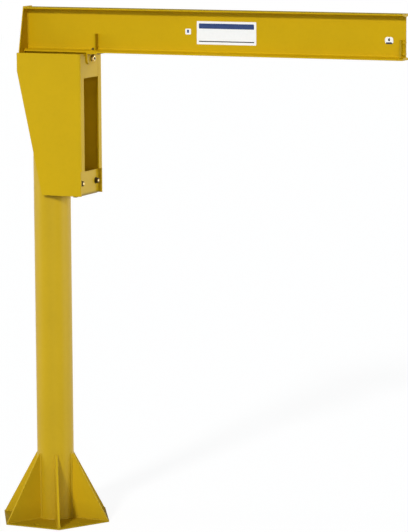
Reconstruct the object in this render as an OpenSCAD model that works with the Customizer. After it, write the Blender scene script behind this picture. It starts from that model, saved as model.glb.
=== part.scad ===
// Free-standing jib crane: a round mast on a ribbed hexagonal foot, a turning head over the
// mast's top, and an I-beam boom on the head. Millimetres, +X along the boom, +Z up.
// The origin is on the mast's axis, on the underside of the foot.

/* [Mast] */
// outside diameter of the mast pipe
mast_od = 219.1; // [150:0.1:330]
// wall of the mast pipe
mast_wall = 8.2; // [5:0.1:16]
// how far the pipe's top end sits below the boom
mast_top_down = 221; // [200:1:400]
// thickness of the cap welded on the pipe
mast_cap_t = 20; // [10:1:40]

/* [Foot] */
// distance from the axis to a corner of the hexagonal plate
foot_corner_r = 355; // [250:1:600]
// thickness of the hexagonal plate
foot_t = 8; // [5:1:50]
// circle of the anchor bolts
anchor_pcd = 520; // [350:1:900]
// diameter of an anchor bolt hole
anchor_hole_d = 27; // [14:1:40]
// height of a gusset's top above the floor
gusset_top_z = 400; // [200:1:700]
// thickness of a gusset
gusset_t = 12; // [6:1:25]
// width of a gusset's narrow top edge
gusset_top_w = 10; // [4:1:40]
// height of a gusset's outer toe
gusset_toe_h = 2; // [1:1:40]
// distance from a gusset's toe to the plate's corner
gusset_toe_back = 8; // [0:1:60]

/* [Head] */
// half of the head's outside width
head_half_w = 142; // [110:1:220]
// thickness of the head's side plates
side_t = 10; // [6:1:20]
// the head's rear face along the boom
head_rear_x = -151; // [-260:1:-100]
// the head's front face along the boom
head_front_x = 265; // [180:1:400]
// height of the side plates
side_h = 835; // [600:1:1400]
// length of the side plate's upright rear edge, above the slope
rear_edge_h = 107; // [60:1:300]
// lower rear corner of the side plate along the boom
slope_foot_x = 5; // [-100:1:120]
// outside radius of the bend at the side plate's front
bend_r = 11; // [11:1:30]
// width of the front lip, measured from the head's outside
lip_w = 47.5; // [25:0.5:90]
// how far the side plate's edge below the lip stops behind the lip
low_edge_back = 3; // [0:1:12]
// how far the front lips end above the side plates' undersides
lip_lift = 145; // [60:1:260]
// height of the upper front plate
front_plate_h = 143; // [100:1:300]
// how far the upper front plate sits behind the lips
front_plate_back = 1; // [0:0.5:8]
// how far the side plates' tops stay under the boom
head_top_gap = 5; // [2:0.5:20]
// thickness of the head's top plate
top_plate_t = 12; // [6:1:25]
// how far the top plate sits below the side plates' tops
top_plate_down = 10; // [2:1:30]
// half width of the seat bar under the boom
seat_half_w = 40; // [20:1:60]

/* [Boom] */
// underside of the boom above the floor
boom_z = 2811; // [2000:1:5000]
// depth of the rolled beam
beam_h = 258; // [150:1:400]
// flange width of the rolled beam
beam_w = 115; // [80:1:200]
// web thickness of the rolled beam
beam_web_t = 8; // [5:0.5:15]
// flange thickness at its toe
flange_toe_t = 8; // [5:0.5:20]
// radius between web and flange
flange_root_r = 8; // [3:0.5:15]
// radius of the flange toe
flange_toe_r = 4; // [1:0.5:8]
// free end of the boom
boom_tip_x = 2230; // [1200:1:6000]
// thickness of the rear end plate
end_plate_t = 6; // [4:1:20]
// half width of the end plate at its top
end_plate_top_w = 52; // [40:1:100]
// half width of the end plate at its foot
end_plate_foot_w = 113; // [60:1:160]
// how far the end plate stands above the beam
end_plate_up = 6; // [0:1:20]
// how far the end plate stands behind the head
end_plate_back = 1; // [0:1:20]
// upright edge at the end plate's lower corners
end_plate_edge_h = 6; // [2:1:40]
// stiffener's rear face along the boom
stiffener_x = 307; // [307:1:500]
// thickness of the stiffener
stiffener_t = 10; // [5:1:20]
// height of the stiffener above the beam's underside
stiffener_h = 110; // [60:1:250]
// how far the stiffener stands out from the web
stiffener_reach = 37; // [25:1:50]
// corner cut that clears the beam's root radius
stiffener_snipe = 16; // [8:1:40]
// end stop's rear face, measured back from the boom's tip
stop_back = 24; // [15:1:120]
// height of the end stop's upper edge above the beam's underside
stop_high = 114; // [60:1:240]
// how far the end stop stands out from the web
stop_leg = 47; // [25:1:80]
// thickness of the end stop angle
stop_t = 6; // [4:0.5:12]
// gap between the end stop and the flange
stop_foot_gap = 2; // [0.5:0.5:5]
// end stop's front edge, measured back from the boom's tip
stop_tip_gap = 2; // [0:1:10]
// height of the lower end stop bolt above the beam's underside
stop_bolt_low = 34; // [32:1:50]
// height of the upper end stop bolt above the beam's underside
stop_bolt_high = 98; // [70:1:200]
// diameter of an end stop bolt hole
stop_hole_d = 9; // [5:0.5:14]

/* [Boom clip] */
// thickness of the clip that ties the boom to the head's front
clip_t = 8; // [5:0.5:16]
// half width of the clip
clip_half_w = 60; // [50:1:120]
// length of the clip's hanging leg
clip_drop = 70; // [50:1:120]
// height of the clip's bolt above the hanging leg's end
clip_bolt_up = 34; // [20:1:60]
// front end of the clip's flat leg
clip_front_x = 334; // [300:1:420]
// radius of the hanging leg's lower corners
clip_corner_r = 30; // [5:1:60]
// diameter of the hole for the bolt into the head's front plate
clip_hole_d = 22; // [12:1:30]
// distance from the head's front to the bolts through the boom's flange
clip_flange_bolt_out = 32; // [24:1:50]
// sideways position of the bolts through the boom's flange
clip_flange_bolt_y = 34; // [26:1:44]
// diameter of the holes for the bolts through the boom's flange
flange_hole_d = 11; // [9:1:18]

/* [Pivot] */
// radius of the pivot pin in the bearing
pin_r = 30; // [15:0.5:50]
// radius of the pin's shoulder
shoulder_r = 44; // [30:0.5:70]
// height of the pin's shoulder above the mast cap
shoulder_h = 30; // [10:1:80]
// outside radius of the bearing's inner race
inner_race_r = 43; // [30:0.5:70]
// outside radius of the bearing
bearing_r = 60; // [40:0.5:90]
// height of the bearing
bearing_h = 34; // [15:1:60]
// how much higher the outer race sits than the inner one
race_offset = 2; // [0:0.5:6]
// outside radius of the bearing housing
housing_r = 76; // [55:0.5:110]
// thickness of the housing's lip over the outer race
housing_lip_t = 14; // [6:1:30]
// how far the housing's skirt reaches below the inner race
housing_skirt = 4; // [0:1:12]
// how far the housing stands above the plate that holds it
housing_above_plate = 8; // [2:1:20]
// thickness of the head plate that holds the housing
pivot_plate_t = 15; // [8:1:30]
// running clearance of the bearing, on the radius
bearing_clear = 0.06; // [0.02:0.01:0.1]
// height of the collar on the pin above the housing
collar_h = 16; // [8:1:40]
// gap between the collar and the housing
collar_gap = 6; // [2:1:15]
// how far the pin stands above the housing
pin_above = 40; // [30:1:60]

/* [Trunnion rollers] */
// radius of a roller
roller_r = 40; // [25:0.5:60]
// height of a roller
roller_h = 70; // [30:1:120]
// angle of a roller from the boom's direction
roller_angle = 30; // [15:1:45]
// gap between a roller and the mast
roller_gap = 0.3; // [0.1:0.1:2]
// radius of a roller's pin
roller_pin_r = 12.5; // [8:0.5:20]
// running clearance of a roller on its pin, on the radius
roller_clear = 0.06; // [0.02:0.01:0.1]
// front face of the trunnion plate, behind the head's front
trunnion_back = 24.5; // [10:0.5:60]
// thickness of the trunnion plate
trunnion_t = 12; // [6:1:25]
// height of the trunnion plate
trunnion_h = 145; // [110:1:220]
// how far the trunnion plate hangs below the side plates' undersides
trunnion_hang = 6; // [0:1:12]
// outside radius of the bend at the trunnion plate's lower edge
trunnion_bend_r = 16; // [13:1:30]
// length of the trunnion plate's lower flange, bent back towards the mast
trunnion_flange = 34; // [30:1:60]
// sideways position of a bracket bolt
bracket_bolt_y = 98; // [60:1:110]
// height of the bracket bolts above the side plates' undersides
bracket_bolt_up = 73; // [40:1:110]
// diameter of a bracket bolt hole
bracket_hole_d = 18; // [12:1:30]
// thickness of the roller bracket
bracket_t = 10; // [6:1:20]
// space between a roller and its bracket's ears
bracket_side_gap = 5; // [2:1:15]
// half width of the roller bracket
bracket_half_w = 44; // [30:1:50]
// how far the bracket's ears reach behind the roller's pin
ear_reach = 26; // [18:1:40]
// gap between the bracket's ears and the mast
ear_mast_gap = 8; // [5:1:20]
// height of the roller pin's head
pin_head_h = 6; // [3:1:12]

/* [Hidden] */
$fn = 96;
mast_r = mast_od / 2;
mast_top_z = boom_z - mast_top_down;
cap_top_z = mast_top_z + mast_cap_t;
head_inner_w = head_half_w - side_t;
head_top_z = boom_z - head_top_gap;
head_bottom_z = head_top_z - side_h;
slope_top_z = head_top_z - rear_edge_h;
lip_bottom_z = head_bottom_z + lip_lift;
front_plate_z = head_top_z - front_plate_h;
clip_bottom_z = boom_z - clip_drop;
clip_bolt_z = clip_bottom_z + clip_bolt_up;
top_plate_z = head_top_z - top_plate_down - top_plate_t;
front_plate_t = side_t;
inner_rear_x = head_rear_x + side_t;
inner_len = head_front_x - bend_r - inner_rear_x;
beam_half_w = beam_w / 2;
beam_half_web = beam_web_t / 2;
flange_slope = 1 / 6;
flange_len = sqrt(1 + flange_slope * flange_slope);
beam_rear_x = head_rear_x - end_plate_back + end_plate_t;
beam_len = boom_tip_x - beam_rear_x;
clip_flange_bolt_x = head_front_x + clip_flange_bolt_out;
shoulder_z = cap_top_z + shoulder_h;
housing_lip_z = shoulder_z + bearing_h + race_offset;
housing_low_z = shoulder_z - housing_skirt;
housing_top_z = housing_lip_z + housing_lip_t;
housing_mouth_r = shoulder_r + 2;
pin_top_z = housing_top_z + pin_above;
pin_chamfer = 2;
collar_z = housing_top_z + collar_gap;
pivot_plate_z = housing_top_z - pivot_plate_t - housing_above_plate;
roller_d = mast_r + roller_gap + roller_r;
roller_x = roller_d * cos(roller_angle);
roller_y = roller_d * sin(roller_angle);
trunnion_x = head_front_x - trunnion_back;
trunnion_rear_x = trunnion_x - trunnion_t;
trunnion_z = head_bottom_z - trunnion_hang;
bracket_bolt_z = head_bottom_z + bracket_bolt_up;
bracket_low_z = bracket_bolt_z - roller_h / 2 - bracket_side_gap - bracket_t;
bracket_top_z = bracket_bolt_z + roller_h / 2 + bracket_side_gap + bracket_t;
pin_head_r = roller_pin_r + 5;
pin_below = 4;
roller_chamfer = 3;
stop_x = boom_tip_x - stop_back;
stop_bolt_x = stop_x + (stop_back + stop_t - stop_tip_gap) / 2;
over = 1;

paint = [0.83, 0.66, 0.08];
steel = [0.55, 0.55, 0.53];

// a ring about the mast's axis
module ring(r_out, r_in, z, h)
  translate([0, 0, z])
    difference() {
      cylinder(h = h, r = r_out);
      translate([0, 0, -over])
        cylinder(h = h + 2 * over, r = r_in);
    }

module base_plate()
  color(paint)
    difference() {
      cylinder(h = foot_t, r = foot_corner_r, $fn = 6);
      for (a = [30 : 60 : 330])
        rotate(a)
          translate([anchor_pcd / 2, 0, -over])
            cylinder(h = foot_t + 2 * over, d = anchor_hole_d);
    }

// one gusset, from the mast's wall to a corner of the foot
module gusset(i) {
  toe_x = foot_corner_r - gusset_toe_back;
  root_x = sqrt(mast_r * mast_r - gusset_t * gusset_t / 4) - over;
  color(paint)
    rotate(60 * i)
      difference() {
        translate([0, gusset_t / 2, 0])
          rotate([90, 0, 0])
            linear_extrude(height = gusset_t)
              polygon([[root_x, foot_t],
                       [toe_x, foot_t],
                       [toe_x, foot_t + gusset_toe_h],
                       [mast_r + gusset_top_w, gusset_top_z],
                       [root_x, gusset_top_z]]);
        translate([0, 0, foot_t - over])
          cylinder(h = gusset_top_z, r = mast_r);
      }
}

module gusset_1() gusset(0);
module gusset_2() gusset(1);
module gusset_3() gusset(2);
module gusset_4() gusset(3);
module gusset_5() gusset(4);
module gusset_6() gusset(5);

module mast_tube()
  color(paint)
    ring(mast_r, mast_r - mast_wall, foot_t, mast_top_z - foot_t);

module mast_cap()
  color(paint)
    translate([0, 0, mast_top_z])
      cylinder(h = mast_cap_t, r = mast_r);

module pivot_pin()
  color(steel)
    rotate_extrude()
      polygon([[0, cap_top_z],
               [shoulder_r, cap_top_z],
               [shoulder_r, shoulder_z],
               [pin_r, shoulder_z],
               [pin_r, pin_top_z - pin_chamfer],
               [pin_r - pin_chamfer, pin_top_z],
               [0, pin_top_z]]);

module bearing_inner_race()
  color(steel)
    ring(inner_race_r, pin_r, shoulder_z, bearing_h);

module pivot_collar()
  color(steel)
    ring(shoulder_r, pin_r, collar_z, collar_h);

// side view of the head's side plate
module side_profile()
  polygon([[head_rear_x, head_top_z],
           [head_rear_x, slope_top_z],
           [slope_foot_x, head_bottom_z],
           [head_front_x, head_bottom_z],
           [head_front_x, head_top_z]]);

// plan of the side plate with its bent front lip, for the side at -Y
module side_plan() {
  y0 = -head_half_w;
  inner_r = bend_r - side_t;
  difference() {
    translate([head_rear_x, y0])
      square([head_front_x - head_rear_x, lip_w]);
    translate([head_rear_x - over, y0 + side_t])
      square([head_front_x - head_rear_x - side_t - inner_r + over, lip_w]);
    translate([head_rear_x - over, y0 + bend_r])
      square([head_front_x - head_rear_x - side_t + over, lip_w]);
    translate([head_front_x - bend_r, y0 + bend_r])
      circle(r = inner_r);
    difference() {
      translate([head_front_x - bend_r, y0 - over])
        square([bend_r + over, bend_r + over]);
      translate([head_front_x - bend_r, y0 + bend_r])
        circle(r = bend_r);
    }
  }
}

module head_side()
  color(paint)
    intersection() {
      rotate([90, 0, 0])
        linear_extrude(height = 2 * head_half_w, center = true)
          side_profile();
      union() {
        translate([0, 0, lip_bottom_z])
          linear_extrude(height = head_top_z - lip_bottom_z + over)
            side_plan();
        translate([head_rear_x, -head_half_w, head_bottom_z - over])
          cube([head_front_x - head_rear_x - low_edge_back, side_t,
                lip_bottom_z - head_bottom_z + over]);
      }
    }

module head_side_right() head_side();
module head_side_left() mirror([0, 1, 0]) head_side();

module head_front_plate()
  color(paint)
    difference() {
      translate([head_front_x - front_plate_back - front_plate_t, lip_w - head_half_w, front_plate_z])
        cube([front_plate_t, 2 * (head_half_w - lip_w), head_top_z - front_plate_z]);
      translate([head_front_x - 3 * front_plate_t, 0, clip_bolt_z])
        rotate([0, 90, 0])
          cylinder(h = 4 * front_plate_t, d = clip_hole_d);
    }

module head_rear_plate()
  color(paint)
    translate([head_rear_x, -head_inner_w, slope_top_z])
      cube([side_t, 2 * head_inner_w, head_top_z - slope_top_z]);

module head_top_plate()
  color(paint)
    translate([inner_rear_x, -head_inner_w, top_plate_z])
      cube([inner_len, 2 * head_inner_w, top_plate_t]);

module boom_seat()
  color(paint)
    translate([inner_rear_x, -seat_half_w, top_plate_z + top_plate_t])
      cube([inner_len, 2 * seat_half_w, boom_z - top_plate_z - top_plate_t]);

module pivot_plate()
  color(paint)
    difference() {
      translate([inner_rear_x, -head_inner_w, pivot_plate_z])
        cube([inner_len, 2 * head_inner_w, pivot_plate_t]);
      translate([0, 0, pivot_plate_z - over])
        cylinder(h = pivot_plate_t + 2 * over, r = housing_r);
    }

module bearing_housing()
  color(paint)
    difference() {
      translate([0, 0, housing_low_z])
        cylinder(h = housing_top_z - housing_low_z, r = housing_r);
      translate([0, 0, housing_low_z - over])
        cylinder(h = housing_lip_z - housing_low_z + over, r = bearing_r);
      translate([0, 0, housing_low_z - over])
        cylinder(h = housing_top_z - housing_low_z + 2 * over, r = housing_mouth_r);
    }

module bearing_outer_race()
  color(steel)
    ring(bearing_r, inner_race_r + bearing_clear, housing_lip_z - bearing_h, bearing_h);

// one side of the lower flange, with its rounded toe and the fillet at the web
module flange_side() {
  inner_w = beam_half_w - beam_half_web;
  up = [flange_slope, 1] / flange_len;
  root_c = [beam_half_web + flange_root_r,
            flange_toe_t + (inner_w - flange_root_r) * flange_slope + flange_root_r * flange_len];
  toe_c = [beam_half_w - flange_toe_r,
           flange_toe_t + flange_toe_r * flange_slope - flange_toe_r * flange_len];
  difference() {
    polygon([[-over, 0],
             [beam_half_w, 0],
             [beam_half_w, flange_toe_t],
             [beam_half_web - over, flange_toe_t + (inner_w + over) * flange_slope],
             [-over, flange_toe_t + (inner_w + over) * flange_slope]]);
    difference() {
      polygon([toe_c,
               toe_c + [flange_toe_r + over, 0],
               toe_c + [flange_toe_r + over, flange_toe_r + over],
               toe_c + (flange_toe_r + over) * up]);
      translate(toe_c)
        circle(r = flange_toe_r);
    }
  }
  difference() {
    polygon([[beam_half_web - over, flange_toe_t],
             [root_c[0], flange_toe_t],
             root_c - (flange_root_r + over) * up,
             root_c,
             [beam_half_web - over, root_c[1]]]);
    translate(root_c)
      circle(r = flange_root_r);
  }
}

// section of the rolled beam, underside at zero
module beam_section() {
  translate([-beam_half_web, flange_toe_t])
    square([beam_web_t, beam_h - 2 * flange_toe_t]);
  for (top = [0, 1], side = [0, 1])
    translate([0, top * beam_h])
      mirror([0, top])
        mirror([side, 0])
          flange_side();
}

// holes for the two bolts of each end stop, through the web
module stop_bolt_holes()
  for (z = [stop_bolt_low, stop_bolt_high])
    translate([stop_bolt_x, 0, boom_z + z])
      rotate([90, 0, 0])
        cylinder(h = beam_w, d = stop_hole_d, center = true);

// holes for the clip's two bolts, through the lower flange
module clip_bolt_holes()
  for (s = [-1, 1])
    translate([clip_flange_bolt_x, s * clip_flange_bolt_y, boom_z - 2 * clip_t])
      cylinder(h = beam_h / 2, d = flange_hole_d);

module boom_beam()
  color(paint)
    difference() {
      translate([beam_rear_x, 0, boom_z])
        rotate([90, 0, 90])
          linear_extrude(height = beam_len)
            beam_section();
      stop_bolt_holes();
      clip_bolt_holes();
    }

module boom_end_plate()
  color(paint)
    translate([beam_rear_x - end_plate_t, 0, boom_z])
      rotate([90, 0, 90])
        linear_extrude(height = end_plate_t)
          polygon([[-end_plate_foot_w, -head_top_gap],
                   [end_plate_foot_w, -head_top_gap],
                   [end_plate_foot_w, end_plate_edge_h],
                   [end_plate_top_w, beam_h + end_plate_up],
                   [-end_plate_top_w, beam_h + end_plate_up],
                   [-end_plate_foot_w, end_plate_edge_h]]);

// height of the flange's upper face at a distance from the web's middle
function flange_z(y) = flange_toe_t + (beam_half_w - y) * flange_slope;

module boom_stiffener() {
  y0 = beam_half_web;
  y1 = y0 + stiffener_reach;
  color(paint)
    translate([stiffener_x, 0, boom_z])
      rotate([90, 0, 90])
        linear_extrude(height = stiffener_t)
          polygon([[y0 + stiffener_snipe, flange_z(y0 + stiffener_snipe)],
                   [y1, flange_z(y1)],
                   [y1, stiffener_h],
                   [y0, stiffener_h],
                   [y0, flange_z(y0) + stiffener_snipe]]);
}

module boom_stiffener_left() boom_stiffener();
module boom_stiffener_right() mirror([0, 1, 0]) boom_stiffener();

module boom_clip()
  color(paint)
    difference() {
      union() {
        translate([head_front_x, 0, clip_bottom_z])
          rotate([90, 0, 90])
            linear_extrude(height = clip_t) {
              translate([-clip_half_w, clip_corner_r])
                square([2 * clip_half_w, boom_z - clip_bottom_z - clip_corner_r]);
              translate([clip_corner_r - clip_half_w, 0])
                square([2 * (clip_half_w - clip_corner_r), clip_corner_r + over]);
              for (s = [-1, 1])
                translate([s * (clip_half_w - clip_corner_r), clip_corner_r])
                  circle(r = clip_corner_r);
            }
        translate([head_front_x, -clip_half_w, boom_z - clip_t])
          cube([clip_front_x - head_front_x, 2 * clip_half_w, clip_t]);
      }
      translate([head_front_x - over, 0, clip_bolt_z])
        rotate([0, 90, 0])
          cylinder(h = clip_t + 2 * over, d = clip_hole_d);
      clip_bolt_holes();
    }

// an angle: one leg stands across the flange, the other lies on the web
module end_stop() {
  y0 = beam_half_web;
  y1 = y0 + stop_leg;
  root_y = y0 + flange_root_r;
  color(paint)
    difference() {
      intersection() {
        translate([stop_x, 0, boom_z])
          rotate([90, 0, 90])
            linear_extrude(height = stop_back)
              polygon([[y0, flange_z(y0) + flange_root_r],
                       [root_y, flange_z(root_y) + stop_foot_gap],
                       [y1, flange_z(y1) + stop_foot_gap],
                       [y1, stop_high],
                       [y0, stop_high]]);
        union() {
          translate([stop_x, y0, boom_z])
            cube([stop_t, stop_leg, stop_high]);
          translate([stop_x, y0, boom_z])
            cube([stop_back - stop_tip_gap, stop_t, stop_high]);
        }
      }
      stop_bolt_holes();
    }
}

module end_stop_left() end_stop();
module end_stop_right() mirror([0, 1, 0]) end_stop();

// side view of the trunnion plate with its bent lower flange
module trunnion_profile() {
  bend_c = [trunnion_x - trunnion_bend_r, trunnion_z + trunnion_bend_r];
  translate([trunnion_rear_x, bend_c[1]])
    square([trunnion_t, trunnion_h - trunnion_bend_r]);
  translate([trunnion_x - trunnion_flange, trunnion_z])
    square([trunnion_flange - trunnion_bend_r, trunnion_t]);
  intersection() {
    difference() {
      translate(bend_c)
        circle(r = trunnion_bend_r);
      translate(bend_c)
        circle(r = trunnion_bend_r - trunnion_t);
    }
    translate([bend_c[0], trunnion_z])
      square(trunnion_bend_r);
  }
}

module trunnion_plate()
  color(paint)
    difference() {
      rotate([90, 0, 0])
        linear_extrude(height = 2 * head_inner_w, center = true)
          trunnion_profile();
      for (s = [-1, 1])
        translate([trunnion_rear_x - over, s * bracket_bolt_y, bracket_bolt_z])
          rotate([0, 90, 0])
            cylinder(h = trunnion_t + 2 * over, d = bracket_hole_d);
    }

module roller_bracket()
  color(paint)
    difference() {
      union() {
        for (z = [bracket_low_z, bracket_top_z - bracket_t])
          translate([roller_x - ear_reach, roller_y - bracket_half_w, z])
            cube([trunnion_rear_x - roller_x + ear_reach, 2 * bracket_half_w, bracket_t]);
        translate([trunnion_rear_x - bracket_t, roller_y - bracket_half_w, bracket_low_z])
          cube([bracket_t, 2 * bracket_half_w, bracket_top_z - bracket_low_z]);
      }
      translate([0, 0, bracket_low_z - over])
        cylinder(h = bracket_top_z - bracket_low_z + 2 * over, r = mast_r + ear_mast_gap);
      translate([roller_x, roller_y, bracket_low_z - over])
        cylinder(h = bracket_top_z - bracket_low_z + 2 * over, r = roller_pin_r);
      translate([trunnion_rear_x - bracket_t - over, bracket_bolt_y, bracket_bolt_z])
        rotate([0, 90, 0])
          cylinder(h = bracket_t + 2 * over, d = bracket_hole_d);
    }

module roller_bracket_left() roller_bracket();
module roller_bracket_right() mirror([0, 1, 0]) roller_bracket();

module roller_pin()
  color(steel)
    translate([roller_x, roller_y, bracket_low_z]) {
      translate([0, 0, -pin_below])
        cylinder(h = bracket_top_z - bracket_low_z + pin_below, r = roller_pin_r);
      translate([0, 0, bracket_top_z - bracket_low_z])
        cylinder(h = pin_head_h, r = pin_head_r);
    }

module roller_pin_left() roller_pin();
module roller_pin_right() mirror([0, 1, 0]) roller_pin();

module trunnion_roller()
  color(steel)
    translate([roller_x, roller_y, bracket_bolt_z - roller_h / 2])
      rotate_extrude()
        polygon([[roller_pin_r + roller_clear, 0],
                 [roller_r - roller_chamfer, 0],
                 [roller_r, roller_chamfer],
                 [roller_r, roller_h - roller_chamfer],
                 [roller_r - roller_chamfer, roller_h],
                 [roller_pin_r + roller_clear, roller_h]]);

module trunnion_roller_left() trunnion_roller();
module trunnion_roller_right() mirror([0, 1, 0]) trunnion_roller();

base_plate();
gusset_1();
gusset_2();
gusset_3();
gusset_4();
gusset_5();
gusset_6();
mast_tube();
mast_cap();
pivot_pin();
bearing_inner_race();
pivot_collar();
head_side_right();
head_side_left();
head_front_plate();
head_rear_plate();
head_top_plate();
boom_seat();
pivot_plate();
bearing_housing();
bearing_outer_race();
boom_beam();
boom_end_plate();
boom_stiffener_right();
boom_stiffener_left();
boom_clip();
end_stop_right();
end_stop_left();
trunnion_plate();
roller_bracket_right();
roller_bracket_left();
roller_pin_right();
roller_pin_left();
trunnion_roller_right();
trunnion_roller_left();
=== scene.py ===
import math
from collections import namedtuple

import bmesh
import bpy
from mathutils import Matrix, Vector


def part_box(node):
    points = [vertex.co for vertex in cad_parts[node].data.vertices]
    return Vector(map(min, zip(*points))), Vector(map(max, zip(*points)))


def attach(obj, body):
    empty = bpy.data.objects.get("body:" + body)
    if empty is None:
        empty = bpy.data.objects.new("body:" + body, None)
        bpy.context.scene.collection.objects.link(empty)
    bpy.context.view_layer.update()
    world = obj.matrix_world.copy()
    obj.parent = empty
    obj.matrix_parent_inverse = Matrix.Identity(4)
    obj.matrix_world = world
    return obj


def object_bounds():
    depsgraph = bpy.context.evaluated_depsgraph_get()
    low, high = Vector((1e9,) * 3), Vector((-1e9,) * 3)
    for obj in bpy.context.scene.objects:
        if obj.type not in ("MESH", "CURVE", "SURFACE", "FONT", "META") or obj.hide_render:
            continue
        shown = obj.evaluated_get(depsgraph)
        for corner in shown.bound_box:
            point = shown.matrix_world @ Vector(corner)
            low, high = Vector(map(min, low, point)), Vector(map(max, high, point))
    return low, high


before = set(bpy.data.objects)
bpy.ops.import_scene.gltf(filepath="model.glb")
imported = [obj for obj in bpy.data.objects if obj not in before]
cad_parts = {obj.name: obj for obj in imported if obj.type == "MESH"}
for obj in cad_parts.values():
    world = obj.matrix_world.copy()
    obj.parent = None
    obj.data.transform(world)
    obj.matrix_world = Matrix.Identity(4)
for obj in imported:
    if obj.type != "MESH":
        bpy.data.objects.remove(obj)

CAD_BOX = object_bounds()

X = Vector((1, 0, 0))
Y = Vector((0, 1, 0))
Z = Vector((0, 0, 1))

# the camera: which way it looks, how far back it stands and what it looks at
CAMERA_TURN = 24.287
CAMERA_DOWN = 8.22
CAMERA_ROLL = -0.289
CAMERA_DISTANCE = 16.5588
CAMERA_TARGET = (0.9866, 0.0, 1.5834)
CAMERA_LENS = 192.51

# the studio: lamps as (turn from the camera to the right, height, strength, size), in degrees
LAMPS = {
    "lamp_main": (-24.3, 28.5, 1.86, 7.5),
    "lamp_left": (-95.0, 6.0, 0.95, 20.0),
    "lamp_right": (76.0, 5.0, 1.24, 20.0),
    "lamp_behind": (118.0, 5.0, 0.74, 14.0),
    "lamp_front": (8.0, 6.0, 0.36, 30.0),
}
SKY_LEVEL = 0.22
SKY_COLOR = (0.90, 1.0, 1.06, 1)
FLOOR_HALF = 40.0
FLOOR_COLOR = (0.5, 0.5, 0.49, 1)
FLOOR_CAMERA_GLOW = 0.9
FLOOR_CAMERA_COLOR = (0.16, 0.16, 0.16, 1)

# paint, as linear colours; the three yellows are one paint, and the mast's and the boom's are set
# a little darker, as painted shade for the less light that reaches them
HEAD_YELLOW = (0.631, 0.407, 0.005)
MAST_YELLOW = (0.600, 0.390, 0.010)
BOOM_YELLOW = (0.610, 0.386, 0.003)
PRIMER = (0.16, 0.12, 0.075)
CHIP_STEEL = (0.20, 0.19, 0.18)
# painted shade: the colour that low parts, and the trunnion plate's bent lower edge, are darkened
# towards
LOW_SHADE_COLOR = (0.26, 0.175, 0.006)
# painted shade for level faces that look up, in patches like dust
TOP_SHADE_COLOR = (0.27, 0.24, 0.04)

# sizes that the boxes of the nodes don't give, in metres
GUSSET_T = 0.012
SIDE_T = 0.010
CLIP_T = 0.008
CLIP_BOLT_UP = 0.034
FLANGE_BOLT_OUT = 0.032
FLANGE_BOLT_Y = 0.034
FLANGE_TOE_T = 0.008
FLANGE_SLOPE = 1 / 6
WEB_HALF = 0.004
STOP_T = 0.006
STOP_BOLT_LOW = 0.034
STOP_BOLT_HIGH = 0.098
BRACKET_T = 0.010
BRACKET_BOLT_Y = 0.098
BRACKET_BOLT_UP = 0.079
TRUNNION_T = 0.012
TRUNNION_BEND_R = 0.016
EDGE_R = 0.002
FOOT_WELD_LEG = 0.006
WELD_LEG = 0.005
WELD_STEP = 0.0014
WELD_END_GAP = 0.004
END_PLATE_WELD_END_GAP = 0.006
PIVOT_WELD_END_GAP = 0.006
FRONT_WELD_END_GAP = 0.012
BEAM_ROOT = 0.018
BORE_SLACK = 0.0002
TAPER_HALF = 0.009
TAPER_T = 0.0022
STICKER_T = 0.0004
PRINT_T = 0.0001

# faces that meet at more than this show an edge between them
SHARP_ANGLE = math.radians(32.0)

# how much rougher the paint is made on level faces that look up, under their painted shade
TOP_SHADE_ROUGH = 2.2

# bolts: thread radius and pitch, width across flats, heights of nut and head, and the washer; the
# M16 nuts and washers are larger than the usual ones, and the larger black washers stand in partly
# for the shadow round the bracket bolts
Bolt = namedtuple("Bolt", "radius pitch flats nut_h head_h washer_r washer_t")
M20 = Bolt(0.010, 0.0025, 0.030, 0.0145, 0.0125, 0.0175, 0.0035)
M16 = Bolt(0.008, 0.0020, 0.027, 0.0140, 0.0100, 0.0195, 0.0030)
M10 = Bolt(0.005, 0.0015, 0.016, 0.0080, 0.0064, 0.0088, 0.0016)
M8 = Bolt(0.004, 0.00125, 0.013, 0.0065, 0.0053, 0.0080, 0.0016)


# ---------------------------------------------------------------- materials

def new_tree(name):
    """A new material, its node tree and its Principled shader."""
    material = bpy.data.materials.new(name)
    material.use_nodes = True
    tree = material.node_tree
    tree.nodes.clear()
    output = tree.nodes.new("ShaderNodeOutputMaterial")
    shader = tree.nodes.new("ShaderNodeBsdfPrincipled")
    tree.links.new(shader.outputs[0], output.inputs["Surface"])
    return material, tree, shader


def object_place(tree, stretch=(1, 1, 1)):
    """Place on the object, in metres, stretched by a factor along each axis."""
    coord = tree.nodes.new("ShaderNodeTexCoord")
    mapping = tree.nodes.new("ShaderNodeMapping")
    mapping.inputs["Scale"].default_value = stretch
    tree.links.new(coord.outputs["Object"], mapping.inputs["Vector"])
    return mapping.outputs["Vector"]


def noise(tree, place, scale, detail, rough=0.5):
    node = tree.nodes.new("ShaderNodeTexNoise")
    node.inputs["Scale"].default_value = scale
    node.inputs["Detail"].default_value = detail
    node.inputs["Roughness"].default_value = rough
    tree.links.new(place, node.inputs["Vector"])
    return node.outputs["Fac"]


def spread(tree, value, low, high, to_low=0.0, to_high=1.0):
    """value from low to high, spread over to_low to to_high and held there."""
    node = tree.nodes.new("ShaderNodeMapRange")
    node.inputs["From Min"].default_value = low
    node.inputs["From Max"].default_value = high
    node.inputs["To Min"].default_value = to_low
    node.inputs["To Max"].default_value = to_high
    tree.links.new(value, node.inputs["Value"])
    return node.outputs["Result"]


def times(tree, a, b):
    node = tree.nodes.new("ShaderNodeMath")
    node.operation = "MULTIPLY"
    tree.links.new(a, node.inputs[0])
    tree.links.new(b, node.inputs[1])
    return node.outputs[0]


def blend_color(tree, amount, low, high):
    """low where amount is 0 and high where it is 1; each is a colour or a socket."""
    node = tree.nodes.new("ShaderNodeMix")
    node.data_type = "RGBA"
    tree.links.new(amount, node.inputs["Factor"])
    for socket, color in ((node.inputs["A"], low), (node.inputs["B"], high)):
        if isinstance(color, tuple):
            socket.default_value = (*color[:3], 1)
        else:
            tree.links.new(color, socket)
    return node.outputs["Result"]


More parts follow.
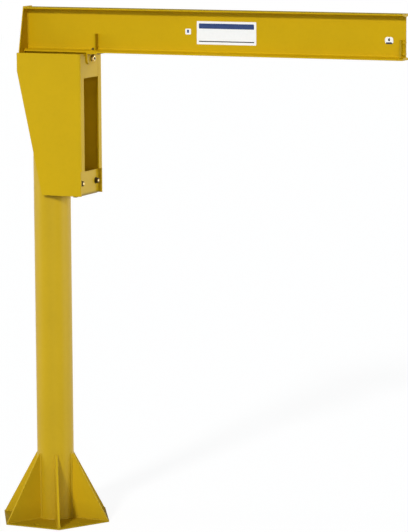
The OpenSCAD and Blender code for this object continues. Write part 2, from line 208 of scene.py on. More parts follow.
def bump(tree, height, strength, distance, under=None):
    node = tree.nodes.new("ShaderNodeBump")
    node.inputs["Strength"].default_value = strength
    node.inputs["Distance"].default_value = distance
    tree.links.new(height, node.inputs["Height"])
    if under is not None:
        tree.links.new(under, node.inputs["Normal"])
    return node.outputs["Normal"]


def soft_edges(tree, radius):
    """The surface's direction with sharp edges rounded to a radius."""
    rounded = tree.nodes.new("ShaderNodeBevel")
    rounded.samples = 4
    rounded.inputs["Radius"].default_value = radius
    return rounded.outputs["Normal"]


def edge_amount(tree, soft):
    """1 on sharp edges, 0 on flats and broad curves."""
    geometry = tree.nodes.new("ShaderNodeNewGeometry")
    dot = tree.nodes.new("ShaderNodeVectorMath")
    dot.operation = "DOT_PRODUCT"
    tree.links.new(soft, dot.inputs[0])
    tree.links.new(geometry.outputs["Normal"], dot.inputs[1])
    return spread(tree, dot.outputs["Value"], 0.99, 0.90)


def shade(color, factor):
    return tuple(min(1.0, c * factor) for c in color)


def enamel(name, color, sheen, low_shade=None, top_shade=0.0):
    """Smooth yellow enamel: slow changes of tone, a faint orange peel, chips on some edges.

    The low band, given as (height where it starts, height where it is full, amount at the full
    height), is painted shade: the paint goes darker towards the bottom, in patches. The amount for
    level faces that look up is painted shade too, in patches like dust, and those faces are made
    rougher.
    """
    material, tree, shader = new_tree(name)
    place = object_place(tree)
    tone = spread(tree, noise(tree, place, 2.3, 3.0), 0.32, 0.68)
    base = blend_color(tree, tone, shade(color, 0.965), shade(color, 1.035))
    mottle = spread(tree, noise(tree, place, 38.0, 4.0, 0.6), 0.45, 0.75, 0.0, 0.10)
    base = blend_color(tree, mottle, base, shade(color, 0.72))
    # painted shade: darker towards the bottom, in patches
    if low_shade:
        start, full, amount = low_shade
        split = tree.nodes.new("ShaderNodeSeparateXYZ")
        tree.links.new(place, split.inputs["Vector"])
        low = spread(tree, split.outputs["Z"], start, full, 0.0, amount)
        patch = spread(tree, noise(tree, place, 21.0, 5.0, 0.6), 0.25, 0.75, 0.75, 1.0)
        base = blend_color(tree, times(tree, low, patch), base, LOW_SHADE_COLOR)
    # painted shade on level faces that look up, in patches like dust, where the paint is also
    # rougher
    if top_shade:
        geometry = tree.nodes.new("ShaderNodeNewGeometry")
        split = tree.nodes.new("ShaderNodeSeparateXYZ")
        tree.links.new(geometry.outputs["True Normal"], split.inputs["Vector"])
        level = spread(tree, split.outputs["Z"], 0.990, 0.998)
        patch = spread(tree, noise(tree, place, 9.0, 4.0, 0.6), 0.3, 0.7, top_shade * 0.8, top_shade)
        base = blend_color(tree, times(tree, level, patch), base, TOP_SHADE_COLOR)
        dull = spread(tree, level, 0.0, 1.0, 1.0, TOP_SHADE_ROUGH)
    shader.inputs["Specular IOR Level"].default_value = sheen
    worn = spread(tree, noise(tree, place, 47.0, 4.0, 0.65), 0.60, 0.66)
    soft = soft_edges(tree, EDGE_R)
    worn = times(tree, worn, edge_amount(tree, soft))
    layer = spread(tree, noise(tree, place, 130.0, 2.0), 0.48, 0.54)
    base = blend_color(tree, worn, base, blend_color(tree, layer, PRIMER, CHIP_STEEL))
    tree.links.new(base, shader.inputs["Base Color"])
    gloss = spread(tree, noise(tree, place, 11.0, 5.0, 0.6), 0.3, 0.7, 0.34, 0.44)
    if top_shade:
        gloss = times(tree, gloss, dull)
    tree.links.new(gloss, shader.inputs["Roughness"])
    peel = bump(tree, noise(tree, place, 310.0, 2.0), 0.10, 0.0005, soft)
    roll = bump(tree, noise(tree, place, 17.0, 2.0), 0.10, 0.0012, peel)
    tree.links.new(roll, shader.inputs["Normal"])
    return material


def turned_steel(name):
    """Turned bearing steel with fine rings, under a patchy film of grease."""
    material, tree, shader = new_tree(name)
    place = object_place(tree)
    rings = noise(tree, object_place(tree, (1, 1, 60)), 30.0, 3.0, 0.6)
    film = spread(tree, noise(tree, place, 26.0, 4.0, 0.6), 0.46, 0.60)
    metal = blend_color(tree, rings, (0.48, 0.475, 0.46), (0.64, 0.635, 0.615))
    base = blend_color(tree, film, metal, (0.33, 0.29, 0.21))
    tree.links.new(base, shader.inputs["Base Color"])
    shader.inputs["Metallic"].default_value = 1.0
    tree.links.new(spread(tree, film, 0.0, 1.0, 0.38, 0.22), shader.inputs["Roughness"])
    normal = bump(tree, rings, 0.12, 0.0004)
    tree.links.new(normal, shader.inputs["Normal"])
    return material


def yellow_zinc(name):
    """Yellow zinc plate on bolts and nuts, with a drifting tint and dull patches."""
    material, tree, shader = new_tree(name)
    place = object_place(tree)
    cloud = spread(tree, noise(tree, place, 90.0, 4.0, 0.6), 0.35, 0.65)
    base = blend_color(tree, cloud, (0.74, 0.55, 0.20), (0.95, 0.76, 0.36))
    dull = spread(tree, noise(tree, place, 240.0, 3.0), 0.56, 0.66, 0.0, 0.5)
    base = blend_color(tree, dull, base, (0.30, 0.21, 0.08))
    tree.links.new(base, shader.inputs["Base Color"])
    shader.inputs["Metallic"].default_value = 0.8
    tree.links.new(spread(tree, cloud, 0.0, 1.0, 0.38, 0.26), shader.inputs["Roughness"])
    normal = bump(tree, noise(tree, place, 500.0, 2.0), 0.10, 0.0003)
    tree.links.new(normal, shader.inputs["Normal"])
    return material


def black_oxide(name):
    """Blackened bolts and washers, with brown rubbed into them in places."""
    material, tree, shader = new_tree(name)
    place = object_place(tree)
    cloud = spread(tree, noise(tree, place, 70.0, 4.0, 0.6), 0.40, 0.66)
    base = blend_color(tree, cloud, (0.050, 0.034, 0.008), (0.105, 0.070, 0.018))
    tree.links.new(base, shader.inputs["Base Color"])
    shader.inputs["Metallic"].default_value = 0.2
    shader.inputs["Specular IOR Level"].default_value = 0.12
    tree.links.new(spread(tree, cloud, 0.0, 1.0, 0.42, 0.60), shader.inputs["Roughness"])
    normal = bump(tree, noise(tree, place, 420.0, 2.0), 0.15, 0.0003)
    tree.links.new(normal, shader.inputs["Normal"])
    return material


def vinyl(name, color, shift):
    """Printed vinyl: a colour that drifts to shift times itself, a soft gloss, slight waves."""
    material, tree, shader = new_tree(name)
    place = object_place(tree)
    cloud = spread(tree, noise(tree, place, 55.0, 4.0, 0.6), 0.35, 0.70)
    base = blend_color(tree, cloud, color, shade(color, shift))
    tree.links.new(base, shader.inputs["Base Color"])
    gloss = spread(tree, noise(tree, place, 40.0, 3.0), 0.3, 0.7, 0.28, 0.40)
    tree.links.new(gloss, shader.inputs["Roughness"])
    normal = bump(tree, noise(tree, place, 32.0, 2.0), 0.12, 0.0006)
    tree.links.new(normal, shader.inputs["Normal"])
    shader.inputs["Specular IOR Level"].default_value = 0.35
    return material


# ------------------------------------------------------------------ meshes

def add_piece(name, bm, material, body):
    """A new object from bm, smooth except at sharp edges, riding on a body."""
    bmesh.ops.recalc_face_normals(bm, faces=bm.faces)
    for face in bm.faces:
        face.smooth = True
    mesh = bpy.data.meshes.new(name)
    bm.to_mesh(mesh)
    bm.free()
    mesh.set_sharp_from_angle(angle=SHARP_ANGLE)
    piece = bpy.data.objects.new(name, mesh)
    bpy.context.scene.collection.objects.link(piece)
    mesh.materials.append(material)
    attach(piece, body)


def axis_place(origin, axis):
    """Matrix that takes local Z to axis at origin."""
    z = Vector(axis).normalized()
    hint = X if abs(z.x) < 0.9 else Y
    x = (hint - z * hint.dot(z)).normalized()
    y = z.cross(x)
    rows = Matrix((x, y, z)).transposed().to_4x4()
    return Matrix.Translation(Vector(origin)) @ rows


def join_rings(bm, low, high):
    """Faces between two rings of as many points."""
    count = len(low)
    for i in range(count):
        j = (i + 1) % count
        bm.faces.new((low[i], low[j], high[j], high[i]))


def place_rings(bm, rings, place):
    return [[bm.verts.new(place @ Vector(p)) for p in ring] for ring in rings]


def add_rings(bm, rings, place):
    """Joins rings of local points into a skin with a face at each end."""
    made = place_rings(bm, rings, place)
    for low, high in zip(made, made[1:]):
        join_rings(bm, low, high)
    bm.faces.new(list(reversed(made[0])))
    bm.faces.new(made[-1])


def add_loop_of_rings(bm, rings, place):
    """Joins rings of local points into a skin whose last ring meets its first."""
    made = place_rings(bm, rings, place)
    for low, high in zip(made, made[1:] + made[:1]):
        join_rings(bm, low, high)


def circle_ring(radius, height, steps):
    return [(radius * math.cos(2 * math.pi * i / steps),
             radius * math.sin(2 * math.pi * i / steps), height) for i in range(steps)]


def lathe(bm, profile, place, steps=48):
    """Turns a closed profile of (radius, height) about the axis."""
    add_loop_of_rings(bm, [circle_ring(r, h, steps) for r, h in profile], place)


def hex_reach(flats, turn):
    """Distance from the axis to a hexagon's side at an angle."""
    part = math.pi / 3
    return flats / 2 / math.cos((turn + part / 2) % part - part / 2)


def hexagon(bm, flats, height, place, bore=0.0, both=True, steps=72):
    """A hexagon head, or a nut if it has a bore, with chamfered corners on one side or both."""
    soft = 0.475 * flats
    slope = math.tan(math.radians(30))
    turns = [2 * math.pi * i / steps for i in range(steps)]

    def ring(radius_of, height_of):
        return [(radius_of(t) * math.cos(t), radius_of(t) * math.sin(t), height_of(t))
                for t in turns]

    def reach(t):
        return hex_reach(flats, t)

    def soft_reach(t):
        return min(soft, reach(t))

    def drop(t):
        return max(0.0, reach(t) - soft) * slope

    low = drop if both else (lambda t: 0.0)
    sides = [ring(reach, low), ring(reach, lambda t: height - drop(t)),
             ring(soft_reach, lambda t: height)]
    foot = [ring(soft_reach, lambda t: 0.0)] if both else []
    if not bore:
        add_rings(bm, foot + sides, place)
        return
    rim = bore * 1.08
    step = rim - bore
    rings = [circle_ring(bore, height - step, steps), circle_ring(bore, step, steps),
             circle_ring(rim, 0.0, steps)] + foot + sides + [circle_ring(rim, height, steps)]
    add_loop_of_rings(bm, rings, place)


def washer(bm, outer, inner, thick, place):
    edge = thick * 0.2
    lathe(bm, [(inner, 0), (outer - edge, 0), (outer, edge), (outer, thick - edge),
               (outer - edge, thick), (inner, thick)], place)


def thread(bm, radius, pitch, start, end, place, steps=28):
    """A threaded end with a chamfered tip, as one helical skin."""
    depth = pitch * 0.54
    per_turn = 6
    rows = max(2, int((end - start) / pitch * per_turn))
    rings = []
    for row in range(rows + 1):
        height = start + (end - start) * row / rows
        cap = radius - max(0.0, height - (end - pitch)) * 0.8
        ring = []
        for i in range(steps):
            turn = 2 * math.pi * i / steps
            phase = (height / pitch - i / steps) % 1.0
            r = min(cap, radius - depth * abs(2 * phase - 1))
            ring.append((r * math.cos(turn), r * math.sin(turn), height))
        rings.append(ring)
    add_rings(bm, rings, place)


def bead(bm, stations, leg, taper=True):
    """A rippled fillet weld; stations are (corner, leg direction, other leg direction)."""
    period = 0.0055
    across = 6
    lengths = [0.0]
    for a, b in zip(stations, stations[1:]):
        lengths.append(lengths[-1] + (b[0] - a[0]).length)
    total = lengths[-1]
    rings = []
    for (corner, up, out), s in zip(stations, lengths):
        end = min(s, total - s)
        grow = 0.45 + 0.55 * min(1.0, end / leg) ** 0.5 if taper else 1.0
        points = [corner - (up + out) * leg * 0.05]
        for k in range(across + 1):
            t = k / across
            bow = 0.20 * 4 * t * (1 - t)
            phase = s / period + 0.45 * (2 * t - 1) ** 2
            ripple = 0.035 * abs(math.sin(math.pi * phase)) * 4 * t * (1 - t)
            reach = grow * leg
            points.append(corner + up * reach * ((1 - t) + bow / 2 + ripple)
                          + out * reach * (t + bow / 2 + ripple))
        rings.append(points)
    add_rings(bm, rings, Matrix.Identity(4))


def line_stations(start, end, up, out):
    start, end, up, out = Vector(start), Vector(end), Vector(up), Vector(out)
    count = max(4, int((end - start).length / WELD_STEP))
    return [(start.lerp(end, i / count), up, out) for i in range(count + 1)]


def arc_stations(radius, height, turn0, turn1, up):
    """Stations round the mast's axis; the second leg runs away from the axis."""
    count = max(8, int(radius * abs(turn1 - turn0) / WELD_STEP))
    stations = []
    for i in range(count + 1):
        turn = turn0 + (turn1 - turn0) * i / count
        out = Vector((math.cos(turn), math.sin(turn), 0))
        stations.append((out * radius + Z * height, Vector(up), out))
    return stations


# -------------------------------------------------------------- the dressing

def dress_nodes(slots, special):
    """Gives each CAD node the paint or steel of its slot, or its own."""
    for name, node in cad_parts.items():
        if node.type != "MESH":
            continue
        for place in node.material_slots:
            key = place.material.name.split(".")[0] if place.material else "head_paint"
            place.material = special.get(name, slots[key])


def foot_welds(paint):
    mast_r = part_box("mast_tube")[1].x
    foot_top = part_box("base_plate")[1].z
    gusset_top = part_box("gusset_1")[1].z
    toe_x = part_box("gusset_1")[1].x
    half = GUSSET_T / 2
    lean = half / mast_r
    root_x = mast_r * math.cos(math.asin(lean))
    leg = FOOT_WELD_LEG
    bm = bmesh.new()
    for k in range(6):
        turn = Matrix.Rotation(math.radians(60 * k), 3, "Z")
        for s in (-1, 1):
            side = Vector((-lean, s * math.sqrt(1 - lean * lean), 0))
            seams = [
                ((root_x, s * half, foot_top), (root_x, s * half, gusset_top), X, side),
                ((root_x, s * half, foot_top), (toe_x, s * half, foot_top), Z, Y * s),
            ]
            for start, end, up, out in seams:
                bead(bm, line_stations(turn @ Vector(start), turn @ Vector(end),
                                       turn @ Vector(up), turn @ Vector(out)), leg)
        for start_x, height in ((root_x, gusset_top), (toe_x, foot_top)):
            bead(bm, line_stations(turn @ Vector((start_x, -half, height)),
                                   turn @ Vector((start_x, half, height)),
                                   Z, turn @ X), leg * 0.8, taper=False)
        gap = math.asin((half + leg * 0.5) / mast_r)
        bead(bm, arc_stations(mast_r, foot_top, math.radians(60 * k) + gap,
                              math.radians(60 * k + 60) - gap, Z), leg)
    add_piece("foot_welds", bm, paint, "mast")


def cap_weld(paint):
    """The seam between the mast's pipe and its cap, left a little proud."""
    mast_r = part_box("mast_tube")[1].x
    seam_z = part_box("mast_cap")[0].z
    half_w = 0.005
    sunk = 0.0004
    proud = 0.0016
    ripples = 60
    steps = 480
    rings = []
    for row in range(7):
        t = row / 6 * 2 - 1
        ring = []
        for i in range(steps):
            turn = 2 * math.pi * i / steps
            ripple = 0.0003 * abs(math.sin(math.pi * (ripples * i / steps + 0.3 * t * t)))
            r = mast_r - sunk + (proud + ripple) * (1 - t * t)
            ring.append((r * math.cos(turn), r * math.sin(turn), seam_z + half_w * t))
        rings.append(ring)
    rings += [[(x * 0.99, y * 0.99, z) for x, y, z in ring] for ring in (rings[-1], rings[0])]
    bm = bmesh.new()
    add_loop_of_rings(bm, rings, Matrix.Identity(4))
    add_piece("mast_cap_weld", bm, paint, "mast")


def head_welds(paint):
    inner_y = -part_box("head_side_right")[0].y - SIDE_T
    rear_lo, rear_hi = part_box("head_rear_plate")
    top_lo, top_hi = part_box("head_top_plate")
    pivot_lo, pivot_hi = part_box("pivot_plate")
    trunnion_lo, trunnion_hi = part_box("trunnion_plate")
    trunnion_x = trunnion_hi.x - TRUNNION_T
    bend_z = trunnion_lo.z + TRUNNION_BEND_R
    front_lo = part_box("head_front_plate")[0]
    housing_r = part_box("bearing_housing")[1].x
    # the bead round the housing stops just short of its start, so that its ends don't meet
    ring_end = 2 * math.pi - 0.004
    rear_y = inner_y - PIVOT_WELD_END_GAP
    front_y = inner_y - FRONT_WELD_END_GAP
    bm = bmesh.new()
    for s in (-1, 1):
        y = s * inner_y
        inward = Y * -s
        seams = [
            ((top_lo.x + WELD_END_GAP, y, top_hi.z), (top_hi.x, y, top_hi.z), Z, inward),
            ((pivot_lo.x + WELD_END_GAP, y, pivot_lo.z), (pivot_hi.x, y, pivot_lo.z),
             -Z, inward),
            ((trunnion_hi.x, y, bend_z), (trunnion_hi.x, y, trunnion_hi.z), X, inward),
            ((trunnion_x, y, bend_z), (trunnion_x, y, trunnion_hi.z), -X, inward),
            ((rear_hi.x, y, rear_lo.z), (rear_hi.x, y, pivot_lo.z), X, inward),
        ]
        for start, end, up, out in seams:
            bead(bm, line_stations(start, end, up, out), WELD_LEG)
    bead(bm, arc_stations(housing_r, pivot_lo.z, 0, ring_end, -Z), WELD_LEG, taper=False)
    bead(bm, line_stations((rear_hi.x, -rear_y, pivot_lo.z),
                           (rear_hi.x, rear_y, pivot_lo.z), -Z, X), WELD_LEG)
    bead(bm, line_stations((front_lo.x, -front_y, pivot_lo.z),
                           (front_lo.x, front_y, pivot_lo.z), -Z, -X), WELD_LEG)
    add_piece("head_welds", bm, paint, "jib")


def flange_top(y):
    """Height of the lower flange's upper face above the boom's underside."""
    half_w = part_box("boom_beam")[1].y
    return FLANGE_TOE_T + (half_w - abs(y)) * FLANGE_SLOPE


def boom_welds(paint):
    beam_lo, beam_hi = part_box("boom_beam")
    stiff_lo, stiff_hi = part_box("boom_stiffener_left")
    y0, y1 = WEB_HALF + BEAM_ROOT, stiff_hi.y
    low_z = beam_lo.z + flange_top(WEB_HALF) + BEAM_ROOT
    high_z = beam_hi.z - flange_top(WEB_HALF) - BEAM_ROOT
    bm = bmesh.new()
    for s in (-1, 1):
        web = s * WEB_HALF
        seams = [((beam_lo.x, web, low_z), (beam_lo.x, web, high_z), X, Y * s)]
        for x, along in ((stiff_lo.x, -X), (stiff_hi.x, X)):
            seams.append(((x, web, low_z), (x, web, stiff_hi.z), along, Y * s))
        for x, along in ((beam_lo.x, X), (stiff_lo.x, -X), (stiff_hi.x, X)):
            seams.append(((x, s * y0, beam_lo.z + flange_top(y0)),
                          (x, s * y1, beam_lo.z + flange_top(y1)), along, Z))
        top_end_y = y1 - END_PLATE_WELD_END_GAP
        seams.append(((beam_lo.x, s * y0, beam_hi.z - flange_top(y0)),
                      (beam_lo.x, s * top_end_y, beam_hi.z - flange_top(y1)), X, -Z))
        for start, end, up, out in seams:
            bead(bm, line_stations(start, end, up, out), WELD_LEG)
    add_piece("boom_welds", bm, paint, "jib")


def bolt_set(name, face, axis, bolt, materials, grip, stud):
    """A bolt through a grip that ends at face: a nut on the side that axis points to, a head
    on the other, and a washer under each.

    materials are those of the nut, the bolt and the washers, and stud is how far the thread
    stands out of the nut.
    """
    nut_material, bolt_material, washer_material = materials
    face, axis = Vector(face), Vector(axis)
    front, back = axis_place(face, axis), axis_place(face - axis * grip, -axis)
    on_washer = Matrix.Translation((0, 0, bolt.washer_t))
    bore = bolt.radius + BORE_SLACK

    bm = bmesh.new()
    hexagon(bm, bolt.flats, bolt.nut_h, front @ on_washer, bore=bore)
    add_piece(name + "_nut", bm, nut_material, "jib")

    bm = bmesh.new()
    thread(bm, bolt.radius, bolt.pitch, bolt.washer_t * 0.5,
           bolt.washer_t + bolt.nut_h + stud, front)
    hexagon(bm, bolt.flats, bolt.head_h, back @ on_washer, both=False)
    add_piece(name + "_bolt", bm, bolt_material, "jib")

    bm = bmesh.new()
    washer(bm, bolt.washer_r, bore, bolt.washer_t, front)
    washer(bm, bolt.washer_r, bore, bolt.washer_t, back)
    add_piece(name + "_washers", bm, washer_material, "jib")


def clip_fasteners(zinc, black):
    clip_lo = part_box("boom_clip")[0]
    front_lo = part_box("head_front_plate")[0]
    face_x = clip_lo.x + CLIP_T
    # the black washers darken the ring beside the nut, which stands in partly for the nut's shadow
    # on the clip: painted shadow
    bolt_set("clip_bolt", (face_x, 0, clip_lo.z + CLIP_BOLT_UP), X, M20,
             (zinc, black, black), face_x - front_lo.x, 0.0015)


def taper_washer(bm, center, low_z):
    """A square wedge that levels the flange's slope under a nut; gives its top's height."""
    x, y = center
    half = TAPER_HALF
    top = low_z + TAPER_T + half * FLANGE_SLOPE
    soft = 0.0012
    corners = [(-half, -half), (half, -half), (half, half), (-half, half)]
    rings = []
    for inset, level in ((0.0, None), (0.0, top - soft), (soft, top)):
        ring = []
        for dx, dy in corners:
            px = x + dx * (1 - inset / half)
            py = y + dy * (1 - inset / half)
            slope_z = low_z - (abs(py) - abs(y)) * FLANGE_SLOPE
            ring.append((px, py, slope_z if level is None else level))
        rings.append(ring)
    add_rings(bm, rings, Matrix.Identity(4))
    return top


def flange_fasteners(paint, black):
    clip_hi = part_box("boom_clip")[1]
    beam_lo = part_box("boom_beam")[0]
    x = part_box("head_side_right")[1].x + FLANGE_BOLT_OUT
    bm = bmesh.new()
    for s in (-1, 1):
        y = s * FLANGE_BOLT_Y
        top = taper_washer(bm, (x, y), beam_lo.z + flange_top(y))
        bolt_set("flange_bolt_" + ("left" if s > 0 else "right"), (x, y, top), Z, M10,
                 (black, black, black), top - (clip_hi.z - CLIP_T), 0.003)
    add_piece("flange_taper_washers", bm, paint, "jib")


def stop_fasteners(paint):
    stop_lo, stop_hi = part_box("end_stop_left")
    beam_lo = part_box("boom_beam")[0]
    x = stop_lo.x + (stop_hi.x + STOP_T - stop_lo.x) / 2
    y = WEB_HALF + STOP_T
    for label, height in (("low", STOP_BOLT_LOW), ("high", STOP_BOLT_HIGH)):
        bolt_set("stop_bolt_" + label, (x, y, beam_lo.z + height), Y, M8,
                 (paint, paint, paint), 2 * y, 0.003)


def bracket_fasteners(zinc, black):
    trunnion_lo, trunnion_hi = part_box("trunnion_plate")
    z = trunnion_lo.z + BRACKET_BOLT_UP
    for label, s in (("left", 1), ("right", -1)):
        # the large black washers fill the dark ring round each bolt head, which stands in partly
        # for the bolt's shadow on the plate: painted shadow
        bolt_set("bracket_bolt_" + label, (trunnion_hi.x, s * BRACKET_BOLT_Y, z), X, M16,
                 (black, zinc, black), TRUNNION_T + BRACKET_T, 0.003)


def rounded_sheet(bm, x0, z0, x1, z1, radius, y, thick, steps=6):
    """A thin sheet on the web's side at -Y, with rounded corners and a soft edge."""
    outline = []
    corners = [(x1 - radius, z1 - radius, 0), (x0 + radius, z1 - radius, 90),
               (x0 + radius, z0 + radius, 180), (x1 - radius, z0 + radius, 270)]
    for cx, cz, start in corners:
        for i in range(steps + 1):
            turn = math.radians(start + 90 * i / steps)
            outline.append((cx, cz, math.cos(turn), math.sin(turn)))
    soft = thick * 0.5
    rings = []
    for inset, level in ((0.0, 0.0), (0.0, thick - soft), (soft, thick)):
        rings.append([(cx + (radius - inset) * c, y - level, cz + (radius - inset) * s)
                      for cx, cz, c, s in outline])
    add_rings(bm, rings, Matrix.Identity(4))


def sticker(name, box, radius, material, y, thick):
    bm = bmesh.new()
    rounded_sheet(bm, *box, radius, y, thick)
    add_piece(name, bm, material, "jib")


def stickers(white, blue, grey):
    """A bare name plate and two small labels on the web, with plain bars and no words.

    Each is (name, (first X, low, last X, high), corner radius, material), with the heights
    above the boom's underside. White ones lie on the web, and marks lie on those.
    """
    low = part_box("boom_beam")[0].z
    for name, (x0, z0, x1, z1), radius, material in (
            ("name_plate", (0.9505, 0.0614, 1.3228, 0.195), 0.004, white),
            ("name_plate_band", (0.964, 0.152, 1.309, 0.182), 0.004, blue),
            ("name_plate_rule", (0.964, 0.076, 1.309, 0.082), 0.002, grey),
            ("square_label", (0.8776, 0.1167, 0.9136, 0.150), 0.006, white),
            ("square_label_mark", (0.889, 0.126, 0.901, 0.144), 0.003, blue),
            ("tip_label", (2.106, 0.088, 2.155, 0.1285), 0.014, white),
            ("tip_label_foot", (2.1105, 0.088, 2.1505, 0.0985), 0.0052, grey),
            ("tip_label_mark", (2.125, 0.105, 2.136, 0.122), 0.005, grey)):
        on_web = material is white
        y = -WEB_HALF if on_web else -WEB_HALF - STICKER_T
        thick = STICKER_T if on_web else PRINT_T
        sticker(name, (x0, low + z0, x1, low + z1), radius, material, y, thick)


# ---------------------------------------------------------------- the studio

def view_axes():
    """The camera's right, up and forward directions before its roll."""
    turn, down = math.radians(CAMERA_TURN), math.radians(CAMERA_DOWN)
    forward = Vector((-math.sin(turn) * math.cos(down), math.cos(turn) * math.cos(down),
                      -math.sin(down)))
    right = Vector((math.cos(turn), math.sin(turn), 0))
    return right, right.cross(forward), forward


def add_camera():
    right, up, forward = view_axes()
    roll = math.radians(CAMERA_ROLL)
    x = right * math.cos(roll) + up * math.sin(roll)
    y = up * math.cos(roll) - right * math.sin(roll)
    data = bpy.data.cameras.new("camera")
    data.lens = CAMERA_LENS
    data.sensor_width = 36.0
    data.clip_end = 200.0
    camera = bpy.data.objects.new("camera", data)
    place = Matrix((x, y, -forward)).transposed().to_4x4()
    place.translation = Vector(CAMERA_TARGET) - forward * CAMERA_DISTANCE
    camera.matrix_world = place
    bpy.context.scene.collection.objects.link(camera)
    bpy.context.scene.camera = camera


def add_lamps():
    right, _, forward = view_axes()
    toward = Vector((-forward.x, -forward.y, 0)).normalized()
    for name, (turn, height, strength, size) in LAMPS.items():
        turn, height = math.radians(turn), math.radians(height)
        flat = toward * math.cos(turn) + right * math.sin(turn)
        source = flat * math.cos(height) + Z * math.sin(height)
        data = bpy.data.lights.new(name, "SUN")
        data.energy = strength
        data.angle = math.radians(size)
        lamp = bpy.data.objects.new(name, data)
        lamp.matrix_world = source.to_track_quat("Z", "Y").to_matrix().to_4x4()
        bpy.context.scene.collection.objects.link(lamp)


def shown_rays(tree):
    """Two sockets: 1 for camera rays, and 1 for glossy and transmission rays."""
    path = tree.nodes.new("ShaderNodeLightPath")
    either = tree.nodes.new("ShaderNodeMath")
    either.operation = "MAXIMUM"
    tree.links.new(path.outputs["Is Glossy Ray"], either.inputs[0])
    tree.links.new(path.outputs["Is Transmission Ray"], either.inputs[1])
    return path.outputs["Is Camera Ray"], either.outputs[0]


def add_world():
    """A dim sky for the light, which the camera and mirroring surfaces see as white."""
    world = bpy.data.worlds.new("studio")
    bpy.context.scene.world = world
    world.use_nodes = True
    tree = world.node_tree
    tree.nodes.clear()
    output = tree.nodes.new("ShaderNodeOutputWorld")
    camera_ray, mirror_ray = shown_rays(tree)
    either = tree.nodes.new("ShaderNodeMath")
    either.operation = "MAXIMUM"
    tree.links.new(camera_ray, either.inputs[0])
    tree.links.new(mirror_ray, either.inputs[1])
    sky = tree.nodes.new("ShaderNodeBackground")
    sky.inputs["Strength"].default_value = SKY_LEVEL
    white = tree.nodes.new("ShaderNodeBackground")
    white.inputs["Strength"].default_value = 1.0
    white.inputs["Color"].default_value = (1, 1, 1, 1)
    sky.inputs["Color"].default_value = SKY_COLOR
    mix = tree.nodes.new("ShaderNodeMixShader")
    tree.links.new(either.outputs[0], mix.inputs["Fac"])
    tree.links.new(sky.outputs[0], mix.inputs[1])
    tree.links.new(white.outputs[0], mix.inputs[2])
    tree.links.new(mix.outputs[0], output.inputs["Surface"])


def floor_material():
    """A pale floor, shown to the camera as white with the object's shadow on it."""
    material = bpy.data.materials.new("studio_floor")
    material.use_nodes = True
    tree = material.node_tree
    tree.nodes.clear()
    output = tree.nodes.new("ShaderNodeOutputMaterial")
    camera_ray, mirror_ray = shown_rays(tree)
    pale = tree.nodes.new("ShaderNodeBsdfDiffuse")
    pale.inputs["Color"].default_value = FLOOR_COLOR
    seen = tree.nodes.new("ShaderNodeBsdfDiffuse")
    seen.inputs["Color"].default_value = FLOOR_CAMERA_COLOR
    glow = tree.nodes.new("ShaderNodeEmission")
    glow.inputs["Strength"].default_value = FLOOR_CAMERA_GLOW
    white = tree.nodes.new("ShaderNodeEmission")
    both = tree.nodes.new("ShaderNodeAddShader")
    tree.links.new(seen.outputs[0], both.inputs[0])
    tree.links.new(glow.outputs[0], both.inputs[1])
    for_camera = tree.nodes.new("ShaderNodeMixShader")
    tree.links.new(camera_ray, for_camera.inputs["Fac"])
    tree.links.new(pale.outputs[0], for_camera.inputs[1])
    tree.links.new(both.outputs[0], for_camera.inputs[2])
    for_mirror = tree.nodes.new("ShaderNodeMixShader")
    tree.links.new(mirror_ray, for_mirror.inputs["Fac"])
    tree.links.new(for_camera.outputs[0], for_mirror.inputs[1])
    tree.links.new(white.outputs[0], for_mirror.inputs[2])
    tree.links.new(for_mirror.outputs[0], output.inputs["Surface"])
    return material


def add_floor():
    bm = bmesh.new()
    corners = [(-1, -1), (1, -1), (1, 1), (-1, 1)]
    low = CAD_BOX[0].z
    bm.faces.new([bm.verts.new((x * FLOOR_HALF, y * FLOOR_HALF, low)) for x, y in corners])
    mesh = bpy.data.meshes.new("studio_floor")
    bm.to_mesh(mesh)
    bm.free()
    mesh.materials.append(floor_material())
    floor = bpy.data.objects.new("studio_floor", mesh)
    bpy.context.scene.collection.objects.link(floor)


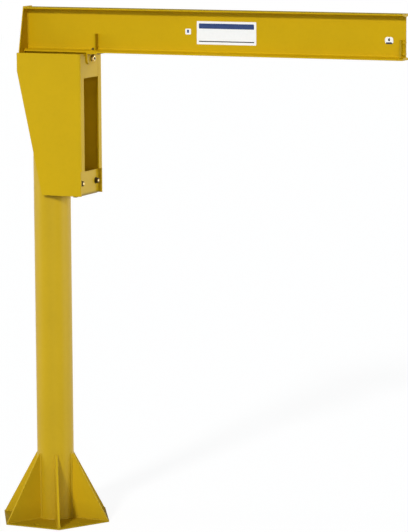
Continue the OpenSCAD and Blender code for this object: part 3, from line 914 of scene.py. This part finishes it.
# the mast, the foot plate and the gussets go darker towards the floor: painted shade
mast_paint = enamel("mast_enamel", MAST_YELLOW, 0.20, low_shade=(0.45, 0.02, 0.45))
foot_paint = enamel("foot_enamel", MAST_YELLOW, 0.01, low_shade=(0.09, 0.006, 0.60))
gusset_paint = enamel("gusset_enamel", MAST_YELLOW, 0.08, low_shade=(0.12, 0.0, 0.38))
head_paint = enamel("head_enamel", HEAD_YELLOW, 0.12)
# painted shade: the boom's seat and the head's top plate lie in the recess under the boom and are
# painted darker
recess_shade_paint = enamel("recess_shade_enamel", shade(HEAD_YELLOW, 0.66), 0.02)
# painted shade: the stiffeners and the end stops are painted darker where the web shades their
# faces
stiffener_shade_paint = enamel("stiffener_shade_enamel", shade(BOOM_YELLOW, 0.82), 0.04)
# the trunnion plate's bent lower edge, which turns down, is painted darker: painted shade
trunnion_paint = enamel("trunnion_enamel", HEAD_YELLOW, 0.18, low_shade=(1.987, 1.974, 0.95))
# painted shade on the boom's level top faces
boom_paint = enamel("boom_enamel", BOOM_YELLOW, 0.10, top_shade=0.6)
steel = turned_steel("turned_steel")
zinc = yellow_zinc("yellow_zinc")
black = black_oxide("black_oxide")
white_vinyl = vinyl("white_vinyl", (0.97, 0.97, 0.96), 0.97)
blue_vinyl = vinyl("blue_vinyl", (0.020, 0.045, 0.150), 1.25)
grey_vinyl = vinyl("grey_vinyl", (0.035, 0.037, 0.042), 1.3)

dress_nodes({"mast_paint": mast_paint, "head_paint": head_paint, "boom_paint": boom_paint,
             "bare_steel": steel},
            {"base_plate": foot_paint, "trunnion_plate": trunnion_paint,
             "boom_seat": recess_shade_paint, "head_top_plate": recess_shade_paint,
             "boom_stiffener_right": stiffener_shade_paint, "boom_stiffener_left": stiffener_shade_paint,
             "end_stop_right": stiffener_shade_paint, "end_stop_left": stiffener_shade_paint,
             **{"gusset_%d" % k: gusset_paint for k in range(1, 7)}})
foot_welds(mast_paint)
cap_weld(mast_paint)
head_welds(head_paint)
boom_welds(boom_paint)
clip_fasteners(zinc, black)
flange_fasteners(boom_paint, black)
stop_fasteners(boom_paint)
bracket_fasteners(zinc, black)
stickers(white_vinyl, blue_vinyl, grey_vinyl)

add_camera()
add_lamps()
add_world()
add_floor()
view = bpy.context.scene.view_settings
view.view_transform = "Standard"
